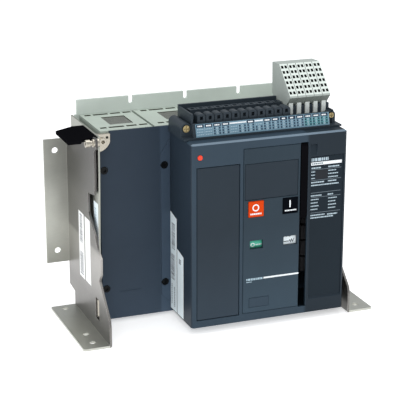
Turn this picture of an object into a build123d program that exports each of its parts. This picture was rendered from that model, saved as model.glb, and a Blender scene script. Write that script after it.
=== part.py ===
"""Four-pole fixed air circuit breaker on two steel mounting brackets.

Frame: X to the right, -Y to the front, +Z up. The origin is the centre of the
foot hole pattern, on the underside of the feet. Depths are measured forward
from the rear mounting plane. All sizes are in millimetres.
"""
from build123d import *
import math
import os

os.makedirs("parts", exist_ok=True)

# ---- driving dimensions -------------------------------------------------
rear_y = 107.4            # Y of the rear mounting plane
pole_pitch = 84.0
pole_count = 4
housing_half = 168.0      # half width of the moulded housing
casing_bottom = 5.7
casing_top = 280.6
plate_top = 302.0         # notched rear plate
split_depth = 60.0        # joint between rear housing and pole casing
panel_depth = 108.8       # front of the pole casing
wall = 3.0
gap = 0.3                 # running gap between loose neighbours

cover_left, cover_right = -62.0, 170.0
cover_bottom, cover_top = 10.0, 274.0
cover_depth = 194.0       # front face of the cover

bracket_x = 181.0         # outer face of the bracket side plates
bracket_t = 3.0
side_sheet_x = 173.0      # outer face of the inner side sheets
side_sheet_t = 2.5
ledge_z = 274.0            # folded ledge of the side sheets, below the chute tops
flange_tip = 215.0        # outer edge of the rear flanges
foot_tip = 218.0          # outer edge of the feet
foot_hole_x = 200.0
foot_hole_y = (67.6, -35.4, -67.6)
flange_hole_x = 198.5
flange_hole_z = (80.0, 231.0)
fixing_r = 4.5

terminal_z = (85.0, 190.0)   # lower and upper terminal bars
terminal_t = 14.0
terminal_w = 44.0
terminal_tail = 45.0         # bar length behind the mounting plane
terminal_hole_r = 5.5
terminal_hole_x = 12.5       # half spacing of the two bar holes

pivot = (48.0, 85.0)         # moving contact pivot: depth, height
link_pin = (60.0, 145.0)     # link pin on a closed moving contact
open_angle = 13.0
shaft = (90.0, 128.0)        # pole shaft axis: depth, height
shaft_r = 8.0
crank_r = 18.0
crank_open = 18.0            # crank lean towards the front when open

cam_axis = (143.0, 195.0)
gear_module = 2.0
wheel_teeth, pinion_teeth = 30, 12
handle_axis = (160.0, 140.0)
latch_axis = (165.0, 232.0)
spring_x, spring_depth = 52.0, 140.0

pole_edges = [(i - pole_count / 2) * pole_pitch for i in range(pole_count + 1)]
inner_edges = pole_edges[1:-1]
pole_centres = [(i - (pole_count - 1) / 2) * pole_pitch for i in range(pole_count)]


# ---- construction helpers ----------------------------------------------
def front_plane(depth):
    """Plane across the breaker at a depth, facing the front."""
    return Plane.XZ.offset(depth - rear_y)


def block(x, depth, z, mode=Mode.ADD):
    """Rectangular block between pairs of X, depth and height."""
    with BuildSketch(Plane.XY.offset(z[0])) as outline:
        with Locations(((x[0] + x[1]) / 2, rear_y - (depth[0] + depth[1]) / 2)):
            Rectangle(x[1] - x[0], depth[1] - depth[0])
    extrude(outline.sketch, amount=z[1] - z[0], mode=mode)


def rod(x, axis, radius, mode=Mode.ADD):
    """Round bar along X on an axis given as depth and height."""
    with BuildSketch(Plane.YZ.offset(x[0])) as outline:
        with Locations((rear_y - axis[0], axis[1])):
            Circle(radius)
    extrude(outline.sketch, amount=x[1] - x[0], mode=mode)


def stud(centre, depth, radius, mode=Mode.ADD):
    """Round bar along Y at an X and height, between two depths."""
    with BuildSketch(front_plane(depth[0])) as outline:
        with Locations(centre):
            Circle(radius)
    extrude(outline.sketch, amount=depth[1] - depth[0], mode=mode)


def side_profile(points, x, mode=Mode.ADD):
    """Prism along X from an outline of depth and height pairs."""
    with BuildSketch(Plane.YZ.offset(x[0])) as outline:
        with BuildLine():
            Polyline([(rear_y - d, z) for d, z in points], close=True)
        make_face()
    extrude(outline.sketch, amount=x[1] - x[0], mode=mode)


def front_profile(points, depth, mode=Mode.ADD):
    """Prism along Y from an outline of X and height pairs."""
    with BuildSketch(front_plane(depth[0])) as outline:
        with BuildLine():
            Polyline(points, close=True)
        make_face()
    extrude(outline.sketch, amount=depth[1] - depth[0], mode=mode)


def lever(ends, radii, x, mode=Mode.ADD):
    """Tapered lever with round ends, flat in X, between two depth-height points."""
    with BuildSketch(Plane.YZ.offset(x[0])) as outline:
        for (depth, z), radius in zip(ends, radii):
            with Locations((rear_y - depth, z)):
                Circle(radius)
        make_hull()
    extrude(outline.sketch, amount=x[1] - x[0], mode=mode)


def turned(point, centre, degrees):
    """A depth-height point leant forward about a centre."""
    lean = math.radians(degrees)
    d, z = point[0] - centre[0], point[1] - centre[1]
    return (centre[0] + d * math.cos(lean) + z * math.sin(lean),
            centre[1] - d * math.sin(lean) + z * math.cos(lean))


def save(builder, label):
    builder.part.label = label
    export_step(builder.part, f"parts/{label}.step")


# ---- housing ------------------------------------------------------------
def make_rear_housing():
    """Moulded base with the notched rear plate, open to the front and top."""
    with BuildPart() as rear_housing:
        block((-housing_half, housing_half), (0, 4.5), (casing_bottom, casing_top))
        block((-165, 165), (0, 4.5), (casing_top, plate_top))
        for side in (-1, 1):
            outer, inner = side * housing_half, side * (housing_half - 2.5)
            block(sorted((outer, inner)), (4.5, split_depth), (casing_bottom, ledge_z - 2.2))
        block((-housing_half, housing_half), (4.5, split_depth), (casing_bottom, casing_bottom + wall))
        for x in inner_edges:
            block((x - wall / 2, x + wall / 2), (4.5, split_depth), (casing_bottom, 204))
        with BuildSketch(front_plane(0)):
            with Locations(*[(x, plate_top) for x in inner_edges]):
                SlotOverall(22.6, 6.6, rotation=90)
        extrude(amount=4.5, mode=Mode.SUBTRACT)
        for x in pole_centres:
            for z in terminal_z:
                block((x - 23, x + 23), (0, 4.5), (z - 8, z + 8), Mode.SUBTRACT)
    save(rear_housing, "rear_housing")


def make_pole_casing():
    """Front casing of the poles, with cut top corners and the lit strip by the cover."""
    panel_half = 164.0
    cut = 14.4
    low_corner = casing_top - 27.0
    with BuildPart() as pole_casing:
        front_profile([(-panel_half, casing_bottom), (panel_half, casing_bottom),
                       (panel_half, low_corner), (panel_half - cut * 0.6, low_corner + 3),
                       (panel_half - cut, low_corner + 11), (panel_half - cut, casing_top),
                       (-panel_half + cut, casing_top), (-panel_half + cut, low_corner + 11),
                       (-panel_half + cut * 0.6, low_corner + 3), (-panel_half, low_corner)],
                      (panel_depth - wall, panel_depth))
        for side in (-1, 1):
            block(sorted((side * panel_half, side * (panel_half - wall))),
                  (split_depth + gap, panel_depth - wall), (casing_bottom, 204))
        block((-panel_half, panel_half), (split_depth + gap, panel_depth - wall),
              (casing_bottom, casing_bottom + wall))
        for x in inner_edges:
            block((x - wall / 2, x + wall / 2), (split_depth + gap, panel_depth - wall),
                  (casing_bottom, 204))
        front_profile([(-76, 33), (-62.4, 20), (-62.4, 262), (-76, 242)],
                      (panel_depth, panel_depth + 1.5))
        block((-138, -107), (panel_depth, panel_depth + 0.6), (44.4, 45.6))
        rod((-panel_half, panel_half), shaft, shaft_r + 0.08, Mode.SUBTRACT)
        block((68, 82), (panel_depth - wall, panel_depth + 2), (92, 168), Mode.SUBTRACT)
        for x, z in casing_screw_places:
            stud((x, z), (panel_depth - wall, panel_depth + 2), 5.6, Mode.SUBTRACT)
    save(pole_casing, "pole_casing")


casing_screw_places = [(-158, 225.5), (-70.6, 225.2), (-70.6, 51.8), (-158, 52)]


def make_casing_screws():
    """Black socket screws sunk into the pole casing."""
    with BuildPart() as casing_screws:
        for x, z in casing_screw_places:
            stud((x, z), (panel_depth - wall, panel_depth + 0.6), 5.2)
            with BuildSketch(front_plane(panel_depth - 1.6)):
                with Locations((x, z)):
                    RegularPolygon(2.9, 6)
            extrude(amount=2.4, mode=Mode.SUBTRACT)
    save(casing_screws, "casing_screws")


def make_side_sheet(side, label):
    """Inner steel side sheet with its folded top edge."""
    outer, inner = side * side_sheet_x, side * (side_sheet_x - side_sheet_t)
    with BuildPart() as side_sheet:
        side_profile([(1, casing_bottom + 3), (1, casing_top), (132, casing_top), (131, 225),
                      (126, 130), (126, casing_bottom + 3)], sorted((outer, inner)))
        block(sorted((inner, side * 165.8)), (5, 105), (ledge_z - 2, ledge_z))
    save(side_sheet, label)


def make_corner_bracket():
    """Small quarter-round steel corner in the open cut corner of the pole casing."""
    x_out, x_in = -170.2, -150.4
    boss = (-161.5, 268.5)
    with BuildPart() as corner_bracket:
        with BuildSketch(front_plane(panel_depth - 1.5)):
            with BuildLine():
                Polyline((x_in, 267.5), (x_in, 278.5), (x_out, 278.5), (x_out, 254.6), (-163.8, 254.6))
                ThreePointArc((-163.8, 254.6), (-155.8, 259.2), (x_in, 267.5))
            make_face()
        extrude(amount=7)
        stud(boss, (panel_depth + 5.5, panel_depth + 9), 5.4)
        stud(boss, (panel_depth + 2, panel_depth + 9), 2.6, Mode.SUBTRACT)
        for x, z in ((-154.6, 273.6), (-167, 258.5)):
            stud((x, z), (panel_depth - 1.5, panel_depth + 5.5), 1.9, Mode.SUBTRACT)
    save(corner_bracket, "corner_bracket")


def chute_span(index):
    """X limits of an arc chute inside its pole chamber."""
    left, right = pole_edges[index] + 2.0, pole_edges[index + 1] - 2.0
    if index == 0:
        left = -161.5
    if index == pole_count - 1:
        right = 161.5
    return left, right


def make_arc_chute(index):
    """Arc chute box, open below, with a vent window and two rows of vents on top."""
    left, right = chute_span(index)
    centre = pole_centres[index]
    with BuildPart() as arc_chute:
        block((left, right), (5, 105), (206, casing_top))
        block((left + 2.5, right - 2.5), (7.5, 102.5), (206, casing_top - 3), Mode.SUBTRACT)
        block((centre + 5.3 - 17, centre + 5.3 + 17), (31, 75), (casing_top - 1.5, casing_top), Mode.SUBTRACT)
        for depth in (14, 89):
            for x, length in ((-27, 9), (-8, 22), (14, 15), (31, 12)):
                block((centre + x - length / 2 + 1, centre + x + length / 2 + 1), (depth - 3.2, depth + 3.2),
                      (casing_top - 3, casing_top), Mode.SUBTRACT)
        vent_rows, vent_columns = 6, 5
        for row in range(vent_rows):
            for column in range(vent_columns):
                x, depth = centre + 5.3 - 13 + column * 6.5, 34.5 + row * 7.4
                block((x - 2.4, x + 2.4), (depth - 2.6, depth + 2.6),
                      (casing_top - 3, casing_top), Mode.SUBTRACT)
    save(arc_chute, f"arc_chute_{index + 1}")


def make_deion_plates():
    """Steel splitter plates inside the arc chutes."""
    plate_count = 9
    with BuildPart() as deion_plates:
        for index in range(pole_count):
            left, right = chute_span(index)
            for plate in range(plate_count):
                depth = 24 + plate * 8.0
                front_profile([(left + 3, 272), (left + 3, 212), (pole_centres[index] - 8, 212),
                               (pole_centres[index], 236), (pole_centres[index] + 8, 212),
                               (right - 3, 212), (right - 3, 272)], (depth, depth + 1.5))
    save(deion_plates, "deion_plates")


support_axis = (141.0, 275.0)   # depth, height of the support pin


# ---- mounting brackets --------------------------------------------------
def make_mounting_bracket(side, label):
    """Folded steel side bracket with a rear flange and a foot."""
    outer, inner = side * bracket_x, side * (bracket_x - bracket_t)
    carries_pin = side < 0
    ear = [(133, 274), (135, 281.5), (147, 281.5), (148, 268)] if carries_pin else [(106, 274), (110, 262)]
    side_outline = [(0, 26), (0, 259), (70, 268), (79, 274), *ear, (137, 262), (138, 228), (135, 200),
                    (104, 195.5), (104.6, 168), (134, 141), (145.5, 125), (159, 116),
                    (158, 92), (150, 82), (170, 60.5), (192, 39), (194.5, 30), (194.5, 0),
                    (26.5, 0), (26.5, 23)]
    with BuildPart() as bracket:
        side_profile(side_outline, sorted((outer, inner)))
        block(sorted((outer, side * flange_tip)), (0, bracket_t), (62, 248))
        block(sorted((outer, side * foot_tip)), (26.5, 194.5), (0, bracket_t))
        fold_lines = bracket.edges().filter_by(Axis.Y).filter_by_position(Axis.Z, 0, 0)
        fillet(fold_lines.filter_by_position(Axis.X, inner, inner), radius=2.8)
        tips = bracket.edges().filter_by(Axis.Z).filter_by_position(Axis.X, side * foot_tip, side * foot_tip)
        fillet(tips, radius=3)
        with BuildSketch(Plane.XY):
            with Locations(*[(side * foot_hole_x, y) for y in foot_hole_y]):
                Circle(fixing_r)
        extrude(amount=bracket_t, mode=Mode.SUBTRACT)
        with BuildSketch(front_plane(0)):
            with Locations(*[(side * flange_hole_x, z) for z in flange_hole_z]):
                Circle(fixing_r)
        extrude(amount=bracket_t, mode=Mode.SUBTRACT)
        block(sorted((outer, inner)), (131, 147), (21, 52), Mode.SUBTRACT)
        if carries_pin:
            rod(sorted((outer, inner)), support_axis, 3.65, Mode.SUBTRACT)
    save(bracket, label)


def make_bracket_fixings():
    """Bolts and spacers that hold the brackets to the side sheets, and the slot pins."""
    gap_span = (side_sheet_x, bracket_x - bracket_t)
    with BuildPart() as bracket_fixings:
        for side in (-1, 1):
            for axis in ((20, 40), (30, 245), (100, 60), (100, 262)):
                rod(sorted((side * gap_span[0], side * gap_span[1])), axis, 7)
            rod(sorted((side * gap_span[0], side * (gap_span[1] + 1))), (139, 48), 3)
            with BuildSketch(Plane.XY.offset(26)):
                with Locations((side * 177.5, rear_y - 139)):
                    Circle(3.3)
            extrude(amount=24)
            block(sorted((side * gap_span[0], side * (gap_span[1] - 1))), (129, 149), (20, 25))
    save(bracket_fixings, "bracket_fixings")


def make_support_pin():
    """Turned steel pin through the ear of the left bracket."""
    with BuildPart() as support_pin:
        rod((-191, -178), support_axis, 3.6)
        rod((-193.5, -187.5), support_axis, 5.2)
        rod((-183.5, -181), support_axis, 5.6)
        rod((-193.5, -191), support_axis, 2.4, Mode.SUBTRACT)
        rod((-178, -175), support_axis, 6)
    save(support_pin, "support_pin")


def make_side_tab():
    """Black flat insulating tab lying on the left bracket."""
    with BuildPart() as side_tab:
        outline = [(-217, 79), (-189, 62), (-173.3, 62), (-173.3, 125), (-176.5, 131.5),
                   (-196, 133.5), (-199, 141), (-217, 141)]
        with BuildSketch(Plane.XY.offset(275.5)) as sketch:
            with BuildLine():
                Polyline(*[(x, rear_y - depth) for x, depth in outline], close=True)
            make_face()
        extrude(sketch.sketch, amount=4.5)
        block((-193, -174), (80, 100), (274.1, 275.5))
    save(side_tab, "side_tab")


def make_side_labels():
    """Stuck-on labels on the left bracket, the left side sheet and the cover side."""
    with BuildPart() as side_labels:
        for depth, z in (((57, 81.7), (59.5, 156.5)), ((87, 111.2), (60.5, 156))):
            block((-bracket_x - 0.3, -bracket_x), depth, z)
        block((-173.3, -173), (106.5, 125.8), (112, 184))
        side_profile([(109.6, 11.5), (134, 11.5), (134, 152), (109.6, 157)], (-62.3, -62))
        side_profile([(136.9, 12), (161, 12), (161, 104), (136.9, 109)], (-62.3, -62))
    save(side_labels, "side_labels")


# ---- front cover --------------------------------------------------------
slot_x = (99.0, 110.4)
slot_z = (20.0, 262.0)
operator_x = (14.0, 98.6)
operator_z = (22.0, 260.6)
blank_x = (-54.0, 8.0)
blank_z = (21.0, 240.0)
plate_x = (114.4, 165.5)
plate_z = (33.0, 240.0)
reset_place = (-49.7, 255.0)
face_wall = 4.0


def make_front_cover():
    """Moulded front cover of the operating mechanism."""
    inner_front = cover_depth - face_wall
    with BuildPart() as front_cover:
        block((cover_left, cover_right), (panel_depth + 1.6, cover_depth), (cover_bottom, cover_top))
        front_face = front_cover.faces().sort_by(Axis.Y)[0]
        fillet(front_face.edges().filter_by(Axis.Z), radius=4.5)
        front_face = front_cover.faces().sort_by(Axis.Y)[0]
        chamfer(front_face.edges().sort_by(Axis.Z)[-1], length=3.2, length2=2.2)
        block((cover_left + wall, cover_right - wall), (panel_depth, inner_front),
              (cover_bottom + wall, cover_top - wall), Mode.SUBTRACT)
        block((blank_x[0] - 0.9, blank_x[1] + 0.9), (cover_depth - 2.8, cover_depth),
              (blank_z[0] - 0.9, blank_z[1] + 0.9), Mode.SUBTRACT)
        block((operator_x[0] - 0.6, operator_x[1] + 0.4), (inner_front, cover_depth),
              (operator_z[0] - 0.6, operator_z[1] + 0.6), Mode.SUBTRACT)
        block(slot_x, (inner_front, cover_depth), slot_z, Mode.SUBTRACT)
        block(plate_x, (cover_depth - 1.8, cover_depth), plate_z, Mode.SUBTRACT)
        side_profile([(cover_depth, 29.5), (cover_depth, 33), (cover_depth - 1.8, 33)],
                     plate_x, Mode.SUBTRACT)
        side_profile([(cover_depth, 242), (cover_depth, 258), (cover_depth - 2.6, 258)],
                     (113, 124), Mode.SUBTRACT)
        stud(reset_place, (inner_front, cover_depth), 3.9, Mode.SUBTRACT)
    save(front_cover, "front_cover")


def make_blank_panel():
    """Blank panel in the place of the trip unit."""
    with BuildPart() as blank_panel:
        block(blank_x, (cover_depth - 2.8, cover_depth - 0.4), blank_z)
        front_face = blank_panel.faces().sort_by(Axis.Y)[0]
        chamfer(front_face.edges(), length=0.5)
    save(blank_panel, "blank_panel")


off_place, on_place = (32.3, 174.2), (84.0, 173.6)
button_size = 22.6
flag_window = (33.7, 122.2, 19.6, 12.4)
spring_window = (85.0, 122.3, 20.8, 13.4)
padlock_window = (38.1, 36.8, 29.2, 13.4)


drum_axis = (cover_depth - face_wall - 13, flag_window[1])


def drum_span():
    """X limits of the indicator drum behind its window."""
    half = flag_window[2] / 2 + 1
    return flag_window[0] - half, flag_window[0] + half


def window(place, depth, clearance=0.0):
    """Cut a rectangular front window given as X, height, width, height."""
    with BuildSketch(front_plane(depth[0])) as outline:
        with Locations((place[0], place[1])):
            Rectangle(place[2] + clearance, place[3] + clearance)
    extrude(outline.sketch, amount=depth[1] - depth[0], mode=Mode.SUBTRACT)


def make_operator_panel():
    """Centre panel that carries the buttons and indicator windows."""
    front = cover_depth + 0.8
    with BuildPart() as operator_panel:
        block(operator_x, (cover_depth - face_wall, front), operator_z)
        front_face = operator_panel.faces().sort_by(Axis.Y)[0]
        chamfer(front_face.edges(), length=0.7)
        for place in (off_place, on_place):
            window((*place, button_size, button_size), (cover_depth - face_wall, front), 0.9)
        for place in (flag_window, spring_window):
            window(place, (cover_depth - face_wall, front))
        window(padlock_window, (cover_depth - face_wall, front), 0.9)
        block((15.5, 95.4), (front - 2.2, front), (187.4, 239.4), Mode.SUBTRACT)
        drum_left, drum_right = drum_span()
        for span in ((drum_left - 2, drum_left - 0.4), (drum_right + 0.4, drum_right + 2)):
            lever([(cover_depth - face_wall + 0.5, drum_axis[1]), drum_axis], (3.2, 3.2), span)
        rod((drum_left - 2, drum_right + 2), drum_axis, 2.42)
    save(operator_panel, "operator_panel")


def make_upper_plate():
    """Thin plate let into the top of the operator panel."""
    with BuildPart() as upper_plate:
        block((16.2, 94.7), (cover_depth - 1.4, cover_depth + 0.5), (188.1, 238.7))
    save(upper_plate, "upper_plate")


def make_nameplate():
    """Thin plate in the recess of the right-hand column."""
    with BuildPart() as nameplate:
        block((plate_x[0] + 0.5, plate_x[1] - 0.5), (cover_depth - 1.8, cover_depth - 0.9),
              (plate_z[0] + 0.8, plate_z[1] - 0.8))
    save(nameplate, "nameplate")


def make_push_button(place, label):
    """Square push button with its stem."""
    with BuildPart() as push_button:
        with BuildSketch(front_plane(cover_depth - face_wall - 1)):
            with Locations(place):
                RectangleRounded(button_size, button_size, 1.0)
        extrude(amount=face_wall + 3.0)
        front_face = push_button.faces().sort_by(Axis.Y)[0]
        fillet(front_face.edges(), radius=0.8)
        stud(place, (cover_depth - face_wall - 8, cover_depth - face_wall - 1), 4)
    save(push_button, label)


def make_reset_button():
    """Small round reset button at the upper left of the cover."""
    with BuildPart() as reset_button:
        stud(reset_place, (cover_depth - face_wall - 4, cover_depth + 1.2), 3.6)
        fillet(reset_button.faces().sort_by(Axis.Y)[0].edges(), radius=0.9)
    save(reset_button, "reset_button")


def make_position_indicator():
    """Two-faced drum segment behind the contact position window."""
    with BuildPart() as position_indicator:
        rod(drum_span(), drum_axis, 12.4)
        rod(drum_span(), drum_axis, 2.5, Mode.SUBTRACT)
    save(position_indicator, "position_indicator")


def make_spring_indicator():
    """Sliding flag behind the spring charge window."""
    x, z, width, height = spring_window
    with BuildPart() as spring_indicator:
        block((x - width / 2 - 1, x + width / 2 + 1),
              (cover_depth - face_wall - 2, cover_depth - face_wall - 0.4),
              (z - height / 2 - 15, z + height / 2 + 1.5))
    save(spring_indicator, "spring_indicator")


def make_padlock_tab():
    """Pull-out padlocking tab with its padlock hole."""
    x, z, width, height = padlock_window
    with BuildPart() as padlock_tab:
        block((x - width / 2, x + width / 2), (cover_depth - face_wall - 24, cover_depth + 1.0),
              (z - height / 2, z + height / 2))
        with BuildSketch(Plane.YZ.offset(x - width / 2)):
            with Locations((rear_y - cover_depth + 12, z)):
                Circle(3.6)
        extrude(amount=width, mode=Mode.SUBTRACT)
    save(padlock_tab, "padlock_tab")


def make_charging_handle():
    """Long black charging handle, hinged inside the cover."""
    x = (slot_x[0] + 0.7, slot_x[1] - 0.7)
    front = cover_depth + 1.2
    with BuildPart() as charging_handle:
        side_profile([(front - 18, 152), (front - 3, 152), (front, 158), (front, 256),
                      (front - 4, 260.5), (front - 14, 260.5), (front - 16, 250)], x)
        lever([handle_axis, (front - 11, 160)], (13, 7), (slot_x[0] + 2.2, slot_x[1] - 2.2))
        rod((slot_x[0], slot_x[1]), handle_axis, 5.08, Mode.SUBTRACT)
    save(charging_handle, "charging_handle")


# ---- control terminals --------------------------------------------------
strip_low, strip_high = (172.5, 277.0), (167.9, 295.0)
strip_x = (-48.5, 153.4)
plug_pitch = 12.6
plug_first = -35.9
plug_count = 11
ear_x = (-57.2, 159.6)
ear_r = (7.8, 6.4)
ear_screw_r = (4.9, 3.8)
terminal_count = 5
terminal_first = plug_first + plug_count * plug_pitch
ear_z = 288.0


def make_terminal_carrier():
    """Black tray that carries the control terminals above the cover."""
    tray_top = cover_top + 5
    with BuildPart() as terminal_carrier:
        side_profile([(panel_depth + 0.5, cover_top), (173, cover_top), (173, strip_low[1]),
                      strip_low, strip_high, (163.6, strip_high[1]), (163.6, tray_top),
                      (panel_depth + 0.5, tray_top)],
                     (strip_x[0] - 2, strip_x[1] - 0.6))
        block((-64.5, 170.2), (panel_depth + 0.5, 173.6), (cover_top, cover_top + 2.6))
        side_profile([(109.3, tray_top), (109.3, 310), (112.8, 310), (112.8, tray_top)], (-50.5, 96.5))
        block((-50.5, -48.2), (109.3, 163.4), (tray_top, 308))
        block((160.0, 162.0), (127, 163.4), (cover_top, 296))
        for index in range(terminal_count):
            x = terminal_first + (index + 0.5) * plug_pitch
            block((x - 2.3, x + 2.3), (134, 148.5), (cover_top, 303))
        for x, radius, ear_back, screw_r in zip(ear_x, ear_r, (112, 150.5), ear_screw_r):
            stud((x, ear_z), (ear_back, 161), radius)
            block((x - radius, x + radius), (ear_back, 161), (cover_top, ear_z))
            stud((x, ear_z), (156, 163.6), screw_r + 0.7, Mode.SUBTRACT)
    save(terminal_carrier, "terminal_carrier")


def make_cover_screws():
    """Brass-coloured captive screws in the carrier's ears."""
    with BuildPart() as cover_screws:
        for x, screw_r in zip(ear_x, ear_screw_r):
            stud((x, ear_z), (156.1, 162.2), screw_r)
            with BuildSketch(front_plane(160.8)):
                with Locations((x, ear_z)):
                    Rectangle(screw_r * 1.6, 1.3)
                    Rectangle(1.3, screw_r * 1.6)
            extrude(amount=1.6, mode=Mode.SUBTRACT)
    save(cover_screws, "cover_screws")


def strip_point(along, off):
    """Depth and height of a point on the leaning strip face, at a distance off it."""
    run = (strip_high[0] - strip_low[0], strip_high[1] - strip_low[1])
    length = math.hypot(*run)
    return (strip_low[0] + run[0] * along + run[1] / length * off,
            strip_low[1] + run[1] * along - run[0] / length * off)


def make_label_strip():
    """Leaning marking strip in front of the control terminals."""
    outline = [strip_point(0.02, 0.05), strip_point(0.02, 0.9),
               strip_point(0.98, 0.9), strip_point(0.98, 0.05)]
    with BuildPart() as label_strip:
        side_profile(outline, (strip_x[0] + 1.5, strip_x[1] - 1.5))
    save(label_strip, "label_strip")


def make_control_plugs():
    """Row of closed black plugs in the left part of the carrier."""
    tray_top = cover_top + 5
    with BuildPart() as control_plugs:
        for index in range(plug_count):
            x = plug_first + index * plug_pitch
            span = (x - 5.8, x + 5.8)
            block(span, (121, 163.2), (tray_top, 297))
            block(span, (148.5, 163.2), (297, 302.4))
            with BuildSketch(front_plane(148.5)):
                with Locations((x, 302.4)):
                    SlotOverall(11.6, 9.0)
            extrude(amount=14.7)
            block(span, (121, 134), (297, 306.5))
            block((x - 2.2, x + 2.2), (157, 163.2), (298.4, 303.6), Mode.SUBTRACT)
            block((x - 2.8, x + 2.8), (124, 131), (300, 306.5), Mode.SUBTRACT)
    save(control_plugs, "control_plugs")


def make_terminal_block():
    """Five grey plug-in terminals with six rows of paired openings on the leaning face."""
    row_count = 6
    top_edge, low_edge = (120.3, 357.0), (158.3, 319.0)
    outline = [(96.5, 356), (119, 357), top_edge, low_edge, (158.9, 316.5), (147, 304),
               (106.3, 304), (97.5, 312)]
    slope = Plane(origin=(0, rear_y - (top_edge[0] + low_edge[0]) / 2, (top_edge[1] + low_edge[1]) / 2),
                  x_dir=(1, 0, 0), z_dir=(0, -1, 1))
    left, right = terminal_first - 5.6, terminal_first + 5.6 + (terminal_count - 1) * plug_pitch
    with BuildPart() as terminal_block:
        side_profile(outline, (left, right))
        block((left + 1, right - 1), (114, 124), (cover_top + 5.3, 304.5))
        for index in range(terminal_count):
            x = terminal_first + index * plug_pitch
            block((x - 3.1, x + 3.1), (123, 150), (cover_top + 5.3, 309))
        for index in range(terminal_count - 1):
            x = terminal_first + (index + 0.5) * plug_pitch
            side_profile([(point[0] + 0.01, point[1]) for point in outline[1:6]] + [(134, 304), (118, 350)],
                         (x - 0.3, x + 0.3), Mode.SUBTRACT)
        with BuildSketch(slope):
            for index in range(terminal_count):
                for side in (-1, 1):
                    x = terminal_first + index * plug_pitch + side * 2.7
                    with Locations(*[(x, (row - (row_count - 1) / 2) * 8.6) for row in range(row_count)]):
                        Rectangle(3.5, 4.6)
        extrude(amount=-4, mode=Mode.SUBTRACT)
    save(terminal_block, "terminal_block")


# ---- poles --------------------------------------------------------------
def make_upper_terminal(index):
    """Upper copper terminal with its fixed contact pad and arc horn."""
    x = pole_centres[index]
    z = terminal_z[1]
    half = terminal_w / 2
    with BuildPart() as upper_terminal:
        block((x - half, x + half), (-terminal_tail, 42), (z - terminal_t / 2, z + terminal_t / 2))
        block((x - 14, x + 14), (42, 44.4), (z - 6, z + 6))
        block((x - 9, x + 9), (36, 39), (z + terminal_t / 2, 203.6))
        terminal_holes(x, z)
    save(upper_terminal, f"upper_terminal_{index + 1}")


def terminal_holes(x, z):
    """Two bolt holes down through a terminal bar's tail."""
    with BuildSketch(Plane.XY.offset(z - terminal_t / 2)) as outline:
        with Locations(*[(x + side * terminal_hole_x, rear_y + terminal_tail - 18) for side in (-1, 1)]):
            Circle(terminal_hole_r)
    extrude(outline.sketch, amount=terminal_t, mode=Mode.SUBTRACT)


def make_lower_terminal(index):
    """Lower copper terminal with the two ears that carry the moving contact."""
    x = pole_centres[index]
    z = terminal_z[0]
    half = terminal_w / 2
    with BuildPart() as lower_terminal:
        block((x - half, x + half), (-terminal_tail, 28), (z - terminal_t / 2, z + terminal_t / 2))
        block((x - 26, x + 26), (24, 32), (z - 12, z + 12))
        for side in (-1, 1):
            ear = sorted((x + side * 20.5, x + side * 26))
            lever([(30, z), pivot], (12, 9), ear)
            rod(ear, pivot, 4.05, Mode.SUBTRACT)
        terminal_holes(x, z)
    save(lower_terminal, f"lower_terminal_{index + 1}")


def make_moving_contact(index):
    """Moving contact arm with its pivot pin, contact pad and link clevis, standing open."""
    x = pole_centres[index]

    def at_open(points):
        return [turned(point, pivot, open_angle) for point in points]

    arm = at_open([(42, 92), (46.8, 178), (46.8, 199), (60, 199), (60, 150), (58, 85), (40, 80)])
    pad = at_open([(44.9, 184), (44.9, 196), (46.8, 196), (46.8, 184)])
    pin = turned(link_pin, pivot, open_angle)
    with BuildPart() as moving_contact:
        side_profile(arm, (x - 18, x + 18))
        rod((x - 18, x + 18), pivot, 11)
        rod((x - 27, x + 27), pivot, 4.0)
        side_profile(pad, (x - 13, x + 13))
        side_profile(at_open([(51.5, 136), (61, 136), (61, 154), (51.5, 154)]),
                     (x - 5.2, x + 5.2), Mode.SUBTRACT)
        for side in (-1, 1):
            lever([turned((56, 145), pivot, open_angle), pin], (7, 6),
                  sorted((x + side * 5.2, x + side * 10)))
        rod((x - 10, x + 10), pin, 3.0)
    save(moving_contact, f"moving_contact_{index + 1}")


def crank_pin():
    return turned((shaft[0], shaft[1] + crank_r), shaft, crank_open)


def make_drive_link(index):
    """Insulating link from the pole shaft to a moving contact."""
    x = pole_centres[index]
    far_end = turned(link_pin, pivot, open_angle)
    with BuildPart() as drive_link:
        lever([crank_pin(), far_end], (5.6, 6.6), (x - 4.2, x + 4.2))
        rod((x - 5, x + 5), crank_pin(), 3.06, Mode.SUBTRACT)
        rod((x - 5, x + 5), far_end, 4.3, Mode.SUBTRACT)
    save(drive_link, f"drive_link_{index + 1}")


def make_pole_shaft():
    """Shaft across all poles, with a pair of cranks per pole and the drive lever."""
    drive_x = 75.0
    with BuildPart() as pole_shaft:
        rod((-163, 163), shaft, shaft_r)
        for x in pole_centres:
            for side in (-1, 1):
                lever([shaft, crank_pin()], (11, 5.4), sorted((x + side * 5.0, x + side * 9.0)))
            rod((x - 9, x + 9), crank_pin(), 3.0)
        lever([shaft, turned((shaft[0] + 34, shaft[1]), shaft, -20)], (12, 6), (drive_x - 3, drive_x + 3))
    save(pole_shaft, "pole_shaft")


# ---- operating mechanism ------------------------------------------------
frame_plates = ((28.0, 31.0), (92.0, 95.0))


def pinion_axis():
    """Axis below the cam shaft at the meshing distance."""
    return (cam_axis[0], cam_axis[1] - gear_module * (wheel_teeth + pinion_teeth) / 2)


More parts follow.
